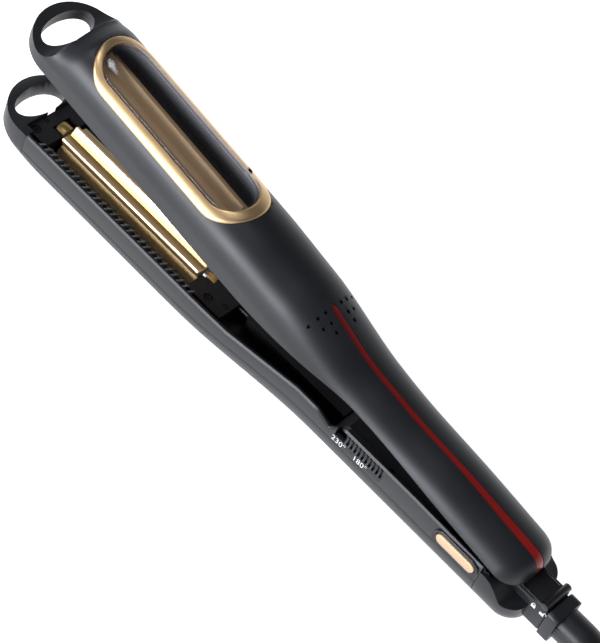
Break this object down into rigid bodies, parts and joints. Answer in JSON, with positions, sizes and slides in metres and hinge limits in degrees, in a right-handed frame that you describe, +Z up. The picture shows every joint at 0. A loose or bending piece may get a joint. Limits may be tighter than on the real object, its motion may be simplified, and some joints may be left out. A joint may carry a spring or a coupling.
{
  "type": "hair crimper",
  "caption": "Hand-held automatic hair crimper with two hinged arms, two fluted heated rollers, a lens window, a slide switch, a push button and a mains cord.",
  "frame": {"origin": "middle of the length from the tip to the collar's rear face and of the width, on the surface that it lies on", "axes": "+X from the tip towards the cord, +Z up from the lower arm towards the upper arm; the switch and button are on the -Y side"},
  "size_m": [0.5289, 0.0564, 0.0859],
  "materials": {
    "black_soft": "satin soft touch",
    "black_plastic": "fine grain",
    "gold_gloss": "polished ceramic-coated gold",
    "bronze": "satin bronze",
    "gold_satin": "satin champagne",
    "smoke_lens": "clear, lightly smoked",
    "red_lens": "dark red light guide",
    "steel": "satin",
    "bush": "satin",
    "board": "solder mask",
    "chips": "plain",
    "rubber_black": "satin",
    "lead_red": "silicone sleeve"
  },
  "bodies": {
    "lower_arm": {"block_screws": "steel", "board_parts": "chips", "button_ring": "black_plastic", "button_switch": "black_plastic", "control_board": "board", "cord_boot": "rubber_black", "cord_hank": "rubber_black", "cord_tail": "rubber_black", "cord_tie": "rubber_black", "drive_shaft_cover": "black_plastic", "front_bearing_block": "black_plastic", "heater_leads": "lead_red", "hinge_bracket": "steel", "hinge_pin": "steel", "hinge_spring": "steel", "lower_back_shell": "black_soft", "lower_bushes": "bush", "lower_combs": "black_plastic", "lower_heater_rod": "steel", "lower_inner_deck": "black_plastic", "lower_side_frame": "black_soft", "lower_tip_loop": "black_soft", "mains_plug": "black_plastic", "motor": "steel", "motor_gearbox": "steel", "motor_saddles": "black_plastic", "plug_pins": "bush", "power_cord": "rubber_black", "rear_bearing_block": "black_plastic", "rear_deck": "black_plastic", "rear_housing": "black_soft", "shell_screws": "steel", "slide_switch": "black_plastic", "tail_collar": "black_plastic", "thermal_fuse": "steel"},
    "upper_arm": {"upper_tip_loop": "black_soft", "upper_top_shell": "black_soft", "upper_inner_frame": "black_soft", "window_bezel": "gold_satin", "window_lens": "smoke_lens", "light_strip": "red_lens", "led_board": "board", "led_chips": "chips", "led_board_posts": "black_plastic", "upper_front_block": "black_plastic", "upper_rear_block": "black_plastic", "upper_bushes": "bush", "upper_heater_rod": "steel", "upper_hinge_lugs": "steel"},
    "driven_roller": {"lower_roller": "gold_gloss", "lower_roller_axle": "steel", "drive_shaft": "steel", "shaft_coupling": "steel", "output_shaft": "steel"},
    "free_roller": {"upper_roller": "bronze", "upper_roller_axle": "steel"},
    "temperature_slider": {"temperature_slider": "black_plastic"},
    "push_button": {"push_button": "gold_satin"},
    "lock_slider": {"lock_slider": "black_plastic"}
  },
  "joints": [
    {"name": "arm_hinge", "type": "hinge", "parent": "lower_arm", "child": "upper_arm", "pos_m": [0.12435, 0, 0.0202], "axis": [0, -1, 0], "range_deg": [0, 8.8], "stiffness_Nm_per_rad": 0.5, "springref_deg": -28.65, "deforming": ["hinge_spring"]},
    {"name": "driven_roller_spin", "type": "hinge", "parent": "lower_arm", "child": "driven_roller", "pos_m": [-0.08625, 0, 0.0154], "axis": [1, 0, 0], "continuous": true},
    {"name": "free_roller_spin", "type": "hinge", "parent": "upper_arm", "child": "free_roller", "pos_m": [-0.0823, 0, 0.06191], "axis": [0.9882, 0, -0.153], "continuous": true},
    {"name": "temperature_slide", "type": "slide", "parent": "lower_arm", "child": "temperature_slider", "axis": [-1, 0, 0], "range_m": [0, 0.005]},
    {"name": "start_button_press", "type": "slide", "parent": "lower_arm", "child": "push_button", "axis": [0, 1, 0], "range_m": [0, 0.001], "stiffness_N_per_m": 300, "springref_m": -0.0005},
    {"name": "lock_slide", "type": "slide", "parent": "lower_arm", "child": "lock_slider", "axis": [-1, 0, 0], "range_m": [0, 0.0055]}
  ]
}
